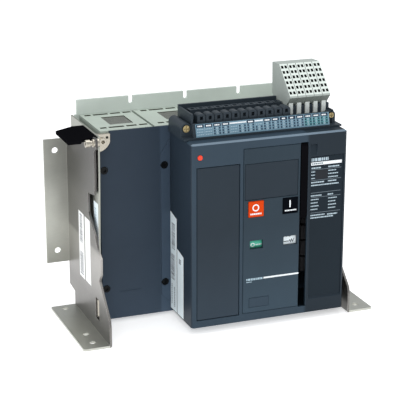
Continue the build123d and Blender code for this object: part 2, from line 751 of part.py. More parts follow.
def make_mechanism_frame():
    """Two steel plates with spacers, the spring base and the handle pin."""
    left_plate, right_plate = frame_plates
    with BuildPart() as mechanism_frame:
        side_profile([(113, 40), (113, 250), (172, 250), (174, 225), (174, 142), (161, 142),
                      (161, 104), (174, 104), (174, 60), (160, 40)], left_plate)
        side_profile([(113, 40), (113, 250), (172, 250), (174, 225), (174, 60), (160, 40)], right_plate)
        for axis in ((118, 242), (118, 60), (168, 70)):
            rod((left_plate[1], right_plate[0]), axis, 4)
        block((left_plate[1], right_plate[0]), (114, 160), (42, 46))
        rod((right_plate[1], slot_x[1] - 1), handle_axis, 5)
        rod((0, 100), cam_axis, 6.05, Mode.SUBTRACT)
        rod((0, 60), pinion_axis(), 4.05, Mode.SUBTRACT)
        rod((0, 100), latch_axis, 5.05, Mode.SUBTRACT)
        with BuildSketch(Plane.XY.offset(42)):
            with Locations((spring_x, rear_y - spring_depth)):
                Circle(6.06)
        extrude(amount=4, mode=Mode.SUBTRACT)
    save(mechanism_frame, "mechanism_frame")


def gear_disc(axis, teeth, phase, x):
    """Spur gear with straight-flanked teeth."""
    pitch_r = gear_module * teeth / 2
    root_r = pitch_r - 1.15 * gear_module
    tip_r = pitch_r + 0.8 * gear_module
    root_w, tip_w = 0.60 * math.pi * gear_module, 0.22 * math.pi * gear_module
    with BuildSketch(Plane.YZ.offset(x[0])) as outline:
        with Locations((rear_y - axis[0], axis[1])):
            Circle(root_r + 0.1)
            with PolarLocations(0, teeth, start_angle=phase):
                Polygon((root_r - 0.3, -root_w / 2), (tip_r, -tip_w / 2), (tip_r, tip_w / 2),
                        (root_r - 0.3, root_w / 2), align=None)
    extrude(outline.sketch, amount=x[1] - x[0])


def make_cam_shaft():
    """Charging shaft with its drive wheel, cam and ratchet."""
    ratchet_teeth = 20
    with BuildPart() as cam_shaft:
        rod((24, 99), cam_axis, 6.0)
        gear_disc(cam_axis, wheel_teeth, 0.0, (36, 42))
        lever([cam_axis, (cam_axis[0] + 9, cam_axis[1])], (15, 12), (58, 68))
        with BuildSketch(Plane.YZ.offset(84)):
            with Locations((rear_y - cam_axis[0], cam_axis[1])):
                Circle(17)
                with PolarLocations(0, ratchet_teeth):
                    Polygon((16, -2.6), (20, -2.2), (16, 2.6), align=None)
        extrude(amount=5)
    save(cam_shaft, "cam_shaft")


def make_motor_pinion():
    """Output pinion of the gear motor."""
    with BuildPart() as motor_pinion:
        rod((22, 46), pinion_axis(), 4.0)
        gear_disc(pinion_axis(), pinion_teeth, 0.0, (35, 43))
    save(motor_pinion, "motor_pinion")


def make_gear_motor():
    """Spring charging gear motor."""
    axis = pinion_axis()
    with BuildPart() as gear_motor:
        block((2, 26), (axis[0] - 22, axis[0] + 22), (axis[1] - 24, axis[1] + 24))
        rod((-46, 2), axis, 19)
        fillet(gear_motor.edges().filter_by(GeomType.CIRCLE).sort_by(Axis.X)[0], radius=3)
        rod((20, 27), axis, 4.6, Mode.SUBTRACT)
    save(gear_motor, "gear_motor")


def make_spring_plunger():
    """Guide rod and cap that squeeze the closing spring."""
    with BuildPart() as spring_plunger:
        with BuildSketch(Plane.XY.offset(43)):
            with Locations((spring_x, rear_y - spring_depth)):
                Circle(6.0)
        extrude(amount=80)
        with BuildSketch(Plane.XY.offset(118)):
            with Locations((spring_x, rear_y - spring_depth)):
                Circle(16)
        extrude(amount=4)
    save(spring_plunger, "spring_plunger")


def make_closing_spring():
    """Coil spring between the frame base and the plunger cap."""
    wire_r, coil_r = 2.0, 12.0
    low, high = 46 + wire_r + 0.2, 118 - wire_r - 0.2
    centre = (spring_x, rear_y - spring_depth)
    with BuildPart() as closing_spring:
        with BuildLine(Plane.XY.offset(low)):
            coil = Helix(pitch=(high - low) / 7, height=high - low, radius=coil_r, center=(*centre, 0))
        with BuildSketch(Plane(origin=coil @ 0, z_dir=coil % 0)):
            Circle(wire_r)
        sweep(path=coil)
    save(closing_spring, "closing_spring")


def make_latch_bar():
    """Half-round closing latch across the mechanism plates."""
    with BuildPart() as latch_bar:
        rod((25, 98), latch_axis, 5.0)
        block((45, 60), (latch_axis[0], latch_axis[0] + 6),
              (latch_axis[1] - 6, latch_axis[1] + 6), Mode.SUBTRACT)
        lever([latch_axis, (latch_axis[0] + 8, latch_axis[1] + 8)], (6.5, 3), (74, 78))
    save(latch_bar, "latch_bar")


def make_release_coils():
    """Three release coils side by side above the motor."""
    with BuildPart() as release_coils:
        for x in (-44, -20, 4):
            block((x - 10.5, x + 10.5), (118, 165), (196, 244))
            stud((x, 220), (165, 172), 4)
    save(release_coils, "release_coils")


def make_auxiliary_contacts():
    """Bank of auxiliary changeover contacts at the right."""
    with BuildPart() as auxiliary_contacts:
        for row in range(4):
            z = 60 + row * 24
            block((118, 162), (112, 160), (z, z + 21))
    save(auxiliary_contacts, "auxiliary_contacts")


# ---- build every piece --------------------------------------------------
make_rear_housing()
make_pole_casing()
make_casing_screws()
make_side_sheet(-1, "side_sheet_left")
make_side_sheet(1, "side_sheet_right")
make_corner_bracket()
for pole in range(pole_count):
    make_arc_chute(pole)
    make_upper_terminal(pole)
    make_lower_terminal(pole)
    make_moving_contact(pole)
    make_drive_link(pole)
make_deion_plates()
make_mounting_bracket(-1, "mounting_bracket_left")
make_mounting_bracket(1, "mounting_bracket_right")
make_bracket_fixings()
make_support_pin()
make_side_tab()
make_side_labels()
make_front_cover()
make_blank_panel()
make_operator_panel()
make_upper_plate()
make_nameplate()
make_push_button(off_place, "off_button")
make_push_button(on_place, "on_button")
make_reset_button()
make_position_indicator()
make_spring_indicator()
make_padlock_tab()
make_charging_handle()
make_terminal_carrier()
make_cover_screws()
make_label_strip()
make_control_plugs()
make_terminal_block()
make_pole_shaft()
make_mechanism_frame()
make_cam_shaft()
make_motor_pinion()
make_gear_motor()
make_spring_plunger()
make_closing_spring()
make_latch_bar()
make_release_coils()
make_auxiliary_contacts()
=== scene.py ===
"""Looks of the air circuit breaker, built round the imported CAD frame.

Everything is in metres in the CAD's own frame; sizes of drawn details are in
millimetres and pass through MM. -Y is the front, +Z is up.
"""
import math
import random

import bmesh
import bpy
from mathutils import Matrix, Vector


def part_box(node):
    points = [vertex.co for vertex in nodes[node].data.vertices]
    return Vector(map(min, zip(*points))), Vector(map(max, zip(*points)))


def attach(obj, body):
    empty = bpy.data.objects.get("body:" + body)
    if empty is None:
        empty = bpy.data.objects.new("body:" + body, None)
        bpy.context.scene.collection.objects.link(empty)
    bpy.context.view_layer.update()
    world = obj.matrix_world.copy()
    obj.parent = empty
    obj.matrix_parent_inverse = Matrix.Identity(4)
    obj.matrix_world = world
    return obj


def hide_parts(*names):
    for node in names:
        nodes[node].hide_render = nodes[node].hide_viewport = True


MM = 0.001
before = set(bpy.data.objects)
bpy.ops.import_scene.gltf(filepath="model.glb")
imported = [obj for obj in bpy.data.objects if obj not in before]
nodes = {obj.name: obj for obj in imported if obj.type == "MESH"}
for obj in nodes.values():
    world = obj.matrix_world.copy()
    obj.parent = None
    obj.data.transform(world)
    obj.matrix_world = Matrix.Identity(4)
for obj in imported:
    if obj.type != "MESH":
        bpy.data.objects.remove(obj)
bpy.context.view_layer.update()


# ---- materials ----------------------------------------------------------
class Graph:
    """A node material with a Principled shader and short helpers for its nodes."""

    def __init__(self, name):
        self.material = bpy.data.materials.new(name)
        self.material.use_nodes = True
        self.tree = self.material.node_tree
        self.shader = self.tree.nodes["Principled BSDF"]
        self.coords = self.add("ShaderNodeTexCoord").outputs["Object"]

    def add(self, kind, **settings):
        node = self.tree.nodes.new(kind)
        for key, value in settings.items():
            setattr(node, key, value)
        return node

    def link(self, source, target):
        self.tree.links.new(source, target)

    def noise(self, scale, detail=3.0, stretch=(1, 1, 1), rough=0.5):
        mapping = self.add("ShaderNodeMapping")
        mapping.inputs["Scale"].default_value = stretch
        self.link(self.coords, mapping.inputs["Vector"])
        noise = self.add("ShaderNodeTexNoise")
        noise.inputs["Scale"].default_value = scale
        noise.inputs["Detail"].default_value = detail
        noise.inputs["Roughness"].default_value = rough
        self.link(mapping.outputs["Vector"], noise.inputs["Vector"])
        return noise.outputs["Fac"]

    def ramp(self, value, low, high, low_out=0.0, high_out=1.0):
        node = self.add("ShaderNodeMapRange")
        node.inputs["From Min"].default_value = low
        node.inputs["From Max"].default_value = high
        node.inputs["To Min"].default_value = low_out
        node.inputs["To Max"].default_value = high_out
        self.link(value, node.inputs["Value"])
        return node.outputs["Result"]

    def mix(self, factor, first, second):
        """Colour mix; each colour is a tuple or a socket."""
        node = self.add("ShaderNodeMix", data_type="RGBA")
        self.link(factor, node.inputs["Factor"])
        for socket, value in ((node.inputs[6], first), (node.inputs[7], second)):
            if isinstance(value, tuple):
                socket.default_value = (*value, 1.0)
            else:
                self.link(value, socket)
        return node.outputs[2]

    def fall(self, axis, stops):
        """Grey factor that follows a position in the frame: stops are (millimetres, factor)."""
        split = self.add("ShaderNodeSeparateXYZ")
        self.link(self.coords, split.inputs[0])
        low, high = stops[0][0], stops[-1][0]
        place = self.ramp(split.outputs[axis], low * MM, high * MM)
        ramp = self.add("ShaderNodeValToRGB")
        points = ramp.color_ramp.elements
        while len(points) < len(stops):
            points.new(0.5)
        for point, (where, factor) in zip(points, stops):
            point.position = (where - low) / (high - low)
            point.color = (factor, factor, factor, 1.0)
        self.link(place, ramp.inputs["Fac"])
        return ramp.outputs["Color"]

    def falls(self, base, gradients):
        """Multiply a colour by every (axis, stops) gradient."""
        for axis, stops in gradients:
            base = self.multiply(base, self.fall(axis, stops))
        return base

    def multiply(self, first, second):
        node = self.add("ShaderNodeMix", data_type="RGBA", blend_type="MULTIPLY")
        node.inputs["Factor"].default_value = 1.0
        self.link(first, node.inputs[6])
        self.link(second, node.inputs[7])
        return node.outputs[2]

    def edge(self, radius):
        """Rounded normal near edges, and a mask of the edges for a painted highlight."""
        bevel = self.add("ShaderNodeBevel", samples=4)
        bevel.inputs["Radius"].default_value = radius
        geometry = self.add("ShaderNodeNewGeometry")
        dot = self.add("ShaderNodeVectorMath", operation="DOT_PRODUCT")
        self.link(bevel.outputs["Normal"], dot.inputs[0])
        self.link(geometry.outputs["Normal"], dot.inputs[1])
        return bevel.outputs["Normal"], self.ramp(dot.outputs["Value"], 0.99, 0.86)

    def bump(self, height, strength, distance, normal=None):
        node = self.add("ShaderNodeBump")
        node.inputs["Strength"].default_value = strength
        node.inputs["Distance"].default_value = distance
        self.link(height, node.inputs["Height"])
        if normal is not None:
            self.link(normal, node.inputs["Normal"])
        return node.outputs["Normal"]


def shade(color, factor):
    return tuple(min(1.0, channel * factor) for channel in color)


def plastic(name, color, rough=0.42, grain=0.12, grain_size=0.35, edge_light=1.6, edge_radius=0.6,
            gloss=0.16, gradients=()):
    """Moulded plastic: fine grain, slow colour drift, and a painted highlight on its rounded edges.
    """
    graph = Graph(name)
    drift = graph.ramp(graph.noise(9.0, 2.0), 0.3, 0.7)
    cloud = graph.ramp(graph.noise(60.0, 4.0), 0.25, 0.75)
    base = graph.mix(drift, shade(color, 0.93), shade(color, 1.07))
    base = graph.mix(graph.ramp(cloud, 0.0, 1.0, 0.0, 0.25), base, shade(color, 1.16))
    base = graph.falls(base, gradients)
    # painted highlight: colour near every edge is mixed towards the base times edge_light
    normal, edge_highlight = graph.edge(edge_radius * MM)
    edge_highlight = graph.ramp(edge_highlight, 0.0, 1.0, 0.0, 0.55)
    graph.link(graph.mix(edge_highlight, base, shade(color, edge_light)), graph.shader.inputs["Base Color"])
    fine = graph.noise(1.0 / (grain_size * MM), 2.0, rough=0.6)
    rough_value = graph.ramp(fine, 0.2, 0.8, rough - 0.06, rough + 0.08)
    graph.link(rough_value, graph.shader.inputs["Roughness"])
    graph.link(graph.bump(fine, grain, 0.12 * MM, normal), graph.shader.inputs["Normal"])
    graph.shader.inputs["Specular IOR Level"].default_value = gloss
    return graph.material


def steel(name, color, rough=0.36, stretch=(1, 1, 18), metal=0.9, edge_light=1.35, gradients=()):
    """Zinc-plated sheet: drawn streaks, faint spangle and a painted highlight on its cut edges."""
    graph = Graph(name)
    streak = graph.noise(160.0, 4.0, stretch=stretch, rough=0.65)
    patch = graph.ramp(graph.noise(22.0, 3.0), 0.3, 0.7)
    base = graph.mix(patch, shade(color, 0.92), shade(color, 1.08))
    base = graph.mix(graph.ramp(streak, 0.35, 0.65, 0.0, 0.35), base, shade(color, 1.2))
    base = graph.falls(base, gradients)
    # painted highlight: colour near every edge is mixed towards the base times edge_light
    normal, edge_highlight = graph.edge(0.5 * MM)
    graph.link(graph.mix(edge_highlight, base, shade(color, edge_light)), graph.shader.inputs["Base Color"])
    graph.shader.inputs["Metallic"].default_value = metal
    rough_value = graph.ramp(streak, 0.2, 0.8, rough - 0.07, rough + 0.09)
    graph.link(rough_value, graph.shader.inputs["Roughness"])
    graph.link(graph.bump(streak, 0.1, 0.05 * MM, normal), graph.shader.inputs["Normal"])
    return graph.material


def print_ink(name, color, rough=0.5, gloss=0.2):
    """Screen-printed ink: slightly uneven cover and gloss."""
    graph = Graph(name)
    cover = graph.ramp(graph.noise(900.0, 2.0), 0.3, 0.7)
    base = graph.mix(cover, shade(color, 0.9), shade(color, 1.04))
    graph.link(base, graph.shader.inputs["Base Color"])
    graph.link(graph.ramp(cover, 0, 1, rough - 0.06, rough + 0.06), graph.shader.inputs["Roughness"])
    graph.shader.inputs["Specular IOR Level"].default_value = gloss
    return graph.material


# Gradients follow one axis of the frame: (axis, [(millimetres, factor), ...]).
# All but RIGHT_COLUMN paint light and shade into the colour.
# painted reflection and shade: a light band low on the bracket's side, darker towards the top
BRACKET_LIGHT_BANDS = (2, [(0, 0.42), (45, 0.42), (66, 0.6), (110, 0.8), (118, 0.78), (124, 0.40),
                      (180, 0.34), (205, 0.24), (290, 0.2)])
# painted light: the front flange and feet brighter, most of all low down
FLANGE_LIGHT = (2, [(0, 1.2), (60, 1.25), (120, 1.3), (160, 1.15), (200, 0.9), (290, 0.85)])
RIGHT_COLUMN = (0, [(-62.3, 1.0), (108, 1.0), (112, 0.42), (170, 0.42)])
# painted light: panels and pole casing brighter towards the bottom, a painted reflection of the floor
PANEL_FLOOR_LIGHT = (2, [(0, 1.45), (90, 1.05), (150, 0.88), (280, 0.85)])
POLE_FLOOR_LIGHT = (2, [(0, 1.5), (110, 1.1), (280, 1.0)])
# painted highlight: the leaning strip of the pole casing beside the cover made lighter
POLE_FACET_LIGHT = (0, [(-169, 1.0), (-77, 1.0), (-76, 1.5), (-61, 1.35), (-59, 1.0), (169, 1.0)])
mats = {
    "slate_cover": plastic("slate_cover", (0.028, 0.047, 0.067), edge_light=2.2,
                           gradients=(RIGHT_COLUMN,)),
    # painted shade: a darker copy of the cover slate for its left side
    "slate_side_shaded": plastic("slate_side_shaded", (0.020, 0.031, 0.045), edge_light=2.2),
    # painted highlight: a much paler copy of the cover slate for its leaning top edge
    "slate_edge_highlight": plastic("slate_edge_highlight", (0.13, 0.18, 0.23), rough=0.36, edge_light=1.2),
    "slate_panel": plastic("slate_panel", (0.024, 0.037, 0.055), rough=0.46,
                           gradients=(POLE_FLOOR_LIGHT, POLE_FACET_LIGHT)),
    "slate_operator": plastic("slate_operator", (0.024, 0.041, 0.057), rough=0.42,
                              gradients=(PANEL_FLOOR_LIGHT,)),
    "slate_plate": plastic("slate_plate", (0.019, 0.030, 0.042), rough=0.4, grain=0.06,
                           gradients=(PANEL_FLOOR_LIGHT,)),
    "plate_dark": plastic("plate_dark", (0.0095, 0.0165, 0.0235), rough=0.36, grain=0.05,
                          gloss=0.1),
    "black": plastic("black_plastic", (0.004, 0.004, 0.005), rough=0.55, edge_light=3.0, gloss=0.0),
    "carrier": plastic("carrier_plastic", (0.026, 0.036, 0.046), rough=0.4, edge_light=2.0),
    "grey": plastic("casing_grey", (0.57, 0.63, 0.58), rough=0.5, edge_light=1.12),
    "chute_grey": plastic("chute_grey", (0.41, 0.47, 0.415), rough=0.52, edge_light=1.15),
    # painted shade: near-black olive for the walls of the vent recesses
    "vent_shade": plastic("vent_shade", (0.075, 0.08, 0.06), rough=0.6, edge_light=1.0, gloss=0.05),
    "terminal_grey": plastic("terminal_grey", (0.35, 0.39, 0.365), rough=0.5, edge_light=1.15),
    "terminal_face": plastic("terminal_face", (0.63, 0.69, 0.65), rough=0.45, edge_light=1.05),
    # painted shade: a dark copy of the terminal grey for the block's underside
    "terminal_under_shade": plastic("terminal_under_shade", (0.16, 0.18, 0.165), rough=0.55, edge_light=1.1),
    # painted light: a lighter grey for the legs, making up for the shade of the block's overhang
    "terminal_leg_lit": plastic("terminal_leg_lit", (0.60, 0.64, 0.62), rough=0.5, edge_light=1.1),
    # painted shade: near black for the walls of the wire openings
    "opening_shade": plastic("opening_shade", (0.012, 0.014, 0.013), rough=0.6, edge_light=1.0,
                            gloss=0.02),
    "bracket": steel("bracket_steel", (0.42, 0.405, 0.385), gradients=(BRACKET_LIGHT_BANDS,)),
    # painted light: a lighter copy of the bracket steel for the front-facing flanges and feet
    "flange": steel("lit_flange_steel", (0.42, 0.425, 0.385), gradients=(FLANGE_LIGHT,)),
    "sheet": steel("sheet_steel", (0.36, 0.37, 0.33), rough=0.42),
    "turned": steel("turned_steel", (0.42, 0.39, 0.33), rough=0.28, stretch=(6, 1, 1)),
    "dark_steel": steel("dark_steel", (0.30, 0.31, 0.32), rough=0.4, stretch=(1, 1, 1)),
    "wire": steel("wire_steel", (0.20, 0.21, 0.19), rough=0.45, stretch=(1, 1, 1), metal=0.5),
    "copper": steel("silvered_copper", (0.72, 0.62, 0.50), rough=0.32, stretch=(1, 12, 1),
                    metal=1.0),
    "brass": steel("brass_screw", (0.36, 0.29, 0.15), rough=0.3, stretch=(1, 1, 1), metal=1.0),
    "inner": plastic("moulding_brown", (0.20, 0.09, 0.05), rough=0.55),
    "resin": plastic("coil_resin", (0.05, 0.05, 0.055), rough=0.5),
    "red": plastic("button_red", (0.60, 0.050, 0.003), rough=0.34, grain=0.03, edge_light=1.2,
                   gloss=0.06),
    "reset": plastic("reset_red", (0.72, 0.05, 0.02), rough=0.3, grain=0.03, edge_light=1.2,
                     gloss=0.3),
    "button_black": plastic("button_black", (0.003, 0.004, 0.006), rough=0.4, grain=0.03,
                            edge_light=1.6, gloss=0.0),
    "screw_black": plastic("screw_black", (0.004, 0.005, 0.006), rough=0.2, grain=0.02,
                           edge_light=2.0, gloss=0.12),
    "green": print_ink("flag_green", (0.08, 0.48, 0.33), rough=0.35),
    "flag_white": print_ink("flag_white", (0.82, 0.90, 0.93), rough=0.4),
    "flag_yellow": print_ink("flag_yellow", (0.75, 0.52, 0.04), rough=0.4),
    "label": print_ink("label_white", (0.95, 0.96, 0.95), rough=0.4),
    "label_blue": print_ink("label_pale_blue", (0.84, 0.94, 0.99), rough=0.4),
    "strip": plastic("strip_blue", (0.14, 0.24, 0.31), rough=0.35, grain=0.05),
    "ink_white": print_ink("ink_white", (0.80, 0.84, 0.86)),
    "ink_pale": print_ink("ink_pale", (0.36, 0.48, 0.55)),
    "ink_line": print_ink("ink_line", (0.42, 0.52, 0.58)),
    "ink_grey": print_ink("ink_grey", (0.16, 0.20, 0.23)),
    # painted shade: dark blue-grey for the shade inside the chute vent windows
    "window_shade": print_ink("window_shade", (0.085, 0.115, 0.14)),
    "ink_black": print_ink("ink_black", (0.012, 0.015, 0.02)),
    "ink_label": print_ink("ink_label", (0.20, 0.21, 0.24)),
    "ink_navy": print_ink("ink_navy", (0.014, 0.032, 0.06)),
    "ink_teal": print_ink("ink_teal", (0.09, 0.26, 0.29)),
}

NODE_MATERIALS = {
    "rear_housing": "grey", "arc_chute_": "chute_grey", "pole_casing": "slate_panel",
    "front_cover": "slate_cover", "blank_panel": "slate_plate", "operator_panel": "slate_operator",
    "upper_plate": "slate_plate", "nameplate": "plate_dark", "side_tab": "black",
    "charging_handle": "black", "terminal_carrier": "carrier", "control_plugs": "carrier",
    "padlock_tab": "slate_cover", "mounting_bracket_": "bracket", "side_sheet_": "sheet",
    "corner_bracket": "turned", "bracket_fixings": "turned", "support_pin": "turned",
    "deion_plates": "dark_steel", "mechanism_frame": "sheet", "pole_shaft": "dark_steel",
    "cam_shaft": "dark_steel", "motor_pinion": "turned", "spring_plunger": "turned",
    "latch_bar": "dark_steel", "closing_spring": "dark_steel", "cover_screws": "brass",
    "casing_screws": "screw_black", "upper_terminal_": "copper", "lower_terminal_": "copper",
    "moving_contact_": "inner", "drive_link_": "inner", "off_button": "red",
    "on_button": "button_black", "reset_button": "reset", "position_indicator": "green",
    "spring_indicator": "flag_white", "side_labels": "label", "label_strip": "strip",
    "terminal_block": "terminal_grey", "gear_motor": "resin", "release_coils": "resin",
    "auxiliary_contacts": "resin",
}


def material_of(node):
    for start, key in NODE_MATERIALS.items():
        if node.startswith(start):
            return mats[key]
    raise KeyError(node)


for name, node in nodes.items():
    node.data.materials.clear()
    node.data.materials.append(material_of(name))


def paint(node_name, key, chosen):
    """Give another finish to the faces of a CAD node that pass a test of centre (mm) and normal."""
    mesh = nodes[node_name].data
    mesh.materials.append(mats[key])
    for face in mesh.polygons:
        if chosen(face.center / MM, face.normal):
            face.material_index = len(mesh.materials) - 1


TERMINAL_SLOPE = Vector((0, -1, 1)).normalized()
TERMINAL_EDGE = Vector((0, -12.9, 357.0))       # top edge of the leaning terminal face
TERMINAL_ROWS = (2.5, 51.0)                     # extent of the openings down the slope
TERMINAL_COLUMNS = (97.5, 158.6)                # and across it
TERMINAL_FLOOR = 303.9                          # just under the terminal body, above its legs
BRACKET_OUTSIDE = 183.2                         # foot and flange lie beyond this on both sides
COVER_SIDE = -61                                # just inside the left side of the front cover
COVER_EDGE = 266                                # the cover's leaning top edge is above this
VENT_DEPTH = 3.2                                # vent walls lie within this of a chute's top
VENT_SPAN = (3.4, 101.4)                        # and between these, inside its outer walls


def terminal_depth(centre):
    """How far below the leaning face, and how far down its slope."""
    offset = centre - TERMINAL_EDGE
    down = Vector((0, -1, -1)).normalized()
    return -offset.dot(TERMINAL_SLOPE), Vector((0, offset.y, offset.z)).dot(down)


def in_opening(centre, normal):
    below, down = terminal_depth(centre)
    return (0.2 < below < 4.3 and TERMINAL_ROWS[0] < down < TERMINAL_ROWS[1]
            and TERMINAL_COLUMNS[0] < centre.x < TERMINAL_COLUMNS[1])


def paint_regions():
    for number in range(1, 5):
        (x0, _, _), (x1, _, top) = [Vector(corner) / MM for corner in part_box(f"arc_chute_{number}")]
        # painted shade: the walls of the vents in each chute's top are painted dark
        paint(f"arc_chute_{number}", "vent_shade",
              lambda c, n: abs(n.z) < 0.5 and c.z > top - VENT_DEPTH
              and x0 + 1 < c.x < x1 - 1 and VENT_SPAN[0] < c.y < VENT_SPAN[1])
    for side in ("left", "right"):
        # painted light: flange and feet beyond the side plates get the lighter copy of the bracket
        # steel
        paint(f"mounting_bracket_{side}", "flange", lambda c, n: abs(c.x) > BRACKET_OUTSIDE)
    paint("terminal_block", "terminal_face",
          lambda c, n: n.dot(TERMINAL_SLOPE) > 0.97 and terminal_depth(c)[0] < 0.2)
    # painted light: the legs under the block get the lighter grey
    paint("terminal_block", "terminal_leg_lit", lambda c, n: c.z < TERMINAL_FLOOR)
    # painted shade: downward-facing faces of the block get the dark copy of its grey
    paint("terminal_block", "terminal_under_shade", lambda c, n: n.z < -0.3 and c.z > TERMINAL_FLOOR)
    # painted shade: the walls of the openings in the leaning face are painted near black
    paint("terminal_block", "opening_shade", in_opening)
    # painted shade: the cover's left-facing side gets the darker copy of its slate
    paint("front_cover", "slate_side_shaded", lambda c, n: n.x < -0.7 and c.x < COVER_SIDE)
    # painted highlight: the cover's leaning top edge gets the paler copy of its slate
    paint("front_cover", "slate_edge_highlight",
          lambda c, n: c.z > COVER_EDGE and c.y < -60 and n.z > 0.2 and n.y < -0.05)


paint_regions()


# ---- printed marks ------------------------------------------------------
# A mark is a closed outline of (u, v) points in millimetres. A place function
# puts (u, v, lift) on one surface of the breaker, in metres.
ROW = 107.4                 # row Y of the rear mounting plane
STRIP_LOW, STRIP_HIGH = (172.5, 277.0), (167.9, 295.0)      # (depth, height) of the strip's ends
STRIP_THICKNESS = 0.9
DRUM_AXIS, DRUM_RADIUS = (177.0, 122.2), 12.4


def front(depth):
    """A face that looks forward, at a depth from the rear plane; v is the height."""
    return lambda u, v, lift: Vector((u, ROW - depth - lift, v)) * MM


def left(x):
    """A face that looks left; u is the depth and v the height."""
    return lambda u, v, lift: Vector((x - lift, ROW - u, v)) * MM


def upward(height):
    """A face that looks up; v is the depth."""
    return lambda u, v, lift: Vector((u, ROW - v, height + lift)) * MM


def strip_face(u, v, lift):
    """The leaning face of the marking strip; v runs up the slope."""
    run = Vector((STRIP_HIGH[0] - STRIP_LOW[0], STRIP_HIGH[1] - STRIP_LOW[1])).normalized()
    depth = STRIP_LOW[0] + run.x * v + run.y * (STRIP_THICKNESS + lift)
    height = STRIP_LOW[1] + run.y * v - run.x * (STRIP_THICKNESS + lift)
    return Vector((u, ROW - depth, height)) * MM


def drum(turned):
    """The indicator drum; v is the arc from the line that faces the window once turned."""
    def place(u, v, lift):
        angle = v / DRUM_RADIUS + math.radians(turned)
        reach = DRUM_RADIUS + lift
        depth = DRUM_AXIS[0] + reach * math.cos(angle)
        return Vector((u, ROW - depth, DRUM_AXIS[1] + reach * math.sin(angle))) * MM
    return place


def rect(u0, u1, v0, v1):
    return [(u0, v0), (u1, v0), (u1, v1), (u0, v1)]


def dashes(start, end, v, height, seed, gap=0.7, longest=4.5):
    """A line of print between two ends: word-like dashes."""
    chance = random.Random(seed)
    marks = []
    while start < end - 0.7:
        stop = min(start + chance.uniform(1.2, longest), end)
        marks.append(rect(start, stop, v - height / 2, v + height / 2))
        start = stop + gap
    return marks


def tall_dashes(u, start, end, width, seed, gap=0.7, longest=4.5):
    """The same for print that runs up the surface."""
    return [[(b, a) for a, b in mark] for mark in dashes(start, end, u, width, seed, gap, longest)]


def ring(u, v, outer, inner, steps=40):
    marks = []
    for i in range(steps):
        a, b = 2 * math.pi * i / steps, 2 * math.pi * (i + 1) / steps
        marks.append([(u + r * math.cos(t), v + r * math.sin(t))
                      for r, t in ((inner, a), (outer, a), (outer, b), (inner, b))])
    return marks


def stroke(points, width):
    """A bent line of even width."""
    marks = []
    for (u0, v0), (u1, v1) in zip(points, points[1:]):
        along = Vector((u1 - u0, v1 - v0)).normalized() * width / 2
        side = Vector((-along.y, along.x))
        start, end = Vector((u0, v0)) - along, Vector((u1, v1)) + along
        corners = (start - side, end - side, end + side, start + side)
        marks.append([tuple(corner) for corner in corners])
    return marks


def add_print(name, marks, place, key, body="breaker", lift=0.06):
    """One piece made of thin closed slabs that stand a little proud of their surface."""
    sunk = -0.03
    bm = bmesh.new()
    for mark in marks:
        low = [bm.verts.new(place(u, v, sunk)) for u, v in mark]
        high = [bm.verts.new(place(u, v, lift)) for u, v in mark]
        bm.faces.new(high)
        bm.faces.new(low[::-1])
        for i in range(len(mark)):
            j = (i + 1) % len(mark)
            bm.faces.new((low[i], low[j], high[j], high[i]))
    bmesh.ops.recalc_face_normals(bm, faces=bm.faces)
    mesh = bpy.data.meshes.new(name)
    bm.to_mesh(mesh)
    bm.free()
    mesh.materials.append(mats[key])
    piece = bpy.data.objects.new(name, mesh)
    bpy.context.scene.collection.objects.link(piece)
    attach(piece, body)


def soften(node_name, body, width, settle):
    """Replace a CAD node by a copy with rounded edges, set back to leave room for its print."""
    source = nodes[node_name]
    bm = bmesh.new()
    bm.from_mesh(source.data)
    bmesh.ops.remove_doubles(bm, verts=bm.verts, dist=0.001 * MM)
    bmesh.ops.dissolve_limit(bm, angle_limit=math.radians(2), verts=bm.verts, edges=bm.edges)
    sharp = [edge for edge in bm.edges
             if edge.is_manifold and edge.calc_face_angle(0) > math.radians(40)]
    bmesh.ops.bevel(bm, geom=sharp, offset=width * MM, segments=3, profile=0.5, affect="EDGES",
                    clamp_overlap=True)
    foremost = min(vert.co.y for vert in bm.verts)
    for vert in bm.verts:
        vert.co.y = max(vert.co.y, foremost + settle * MM)
    mesh = bpy.data.meshes.new(node_name + "_soft")
    bm.to_mesh(mesh)
    bm.free()
    for face in mesh.polygons:
        face.use_smooth = False
    mesh.materials.append(material_of(node_name))
    piece = bpy.data.objects.new(node_name + "_soft", mesh)
    bpy.context.scene.collection.objects.link(piece)
    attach(piece, body)
    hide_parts(node_name)


# ---- operator panel -----------------------------------------------------
# Depths of the printed faces from the rear plane.
PANEL, BUTTON, NAMEPLATE, SPRING_FLAG = 194.8, 196.0, 193.1, 189.6
BUTTON_SETTLE = 0.08


def make_button_marks():
    soften("off_button", "off_button", 0.5, BUTTON_SETTLE)
    soften("on_button", "on_button", 0.5, BUTTON_SETTLE)
    face = front(BUTTON - BUTTON_SETTLE)
    add_print("off_ring", ring(31.6, 176.2, 5.1, 3.4), face, "ink_white",
              "off_button")
    add_print("off_words", dashes(23.6, 41.0, 167.4, 2.2, 3, 0.5, 3.2), face, "ink_white",
              "off_button")
    add_print("on_bar", [rect(82.1, 84.0, 171.4, 181.6)], face, "ink_white",
              "on_button")
    add_print("on_words", dashes(75.4, 92.6, 167.0, 1.9, 7, 0.5, 3.0), face, "ink_white",
              "on_button")


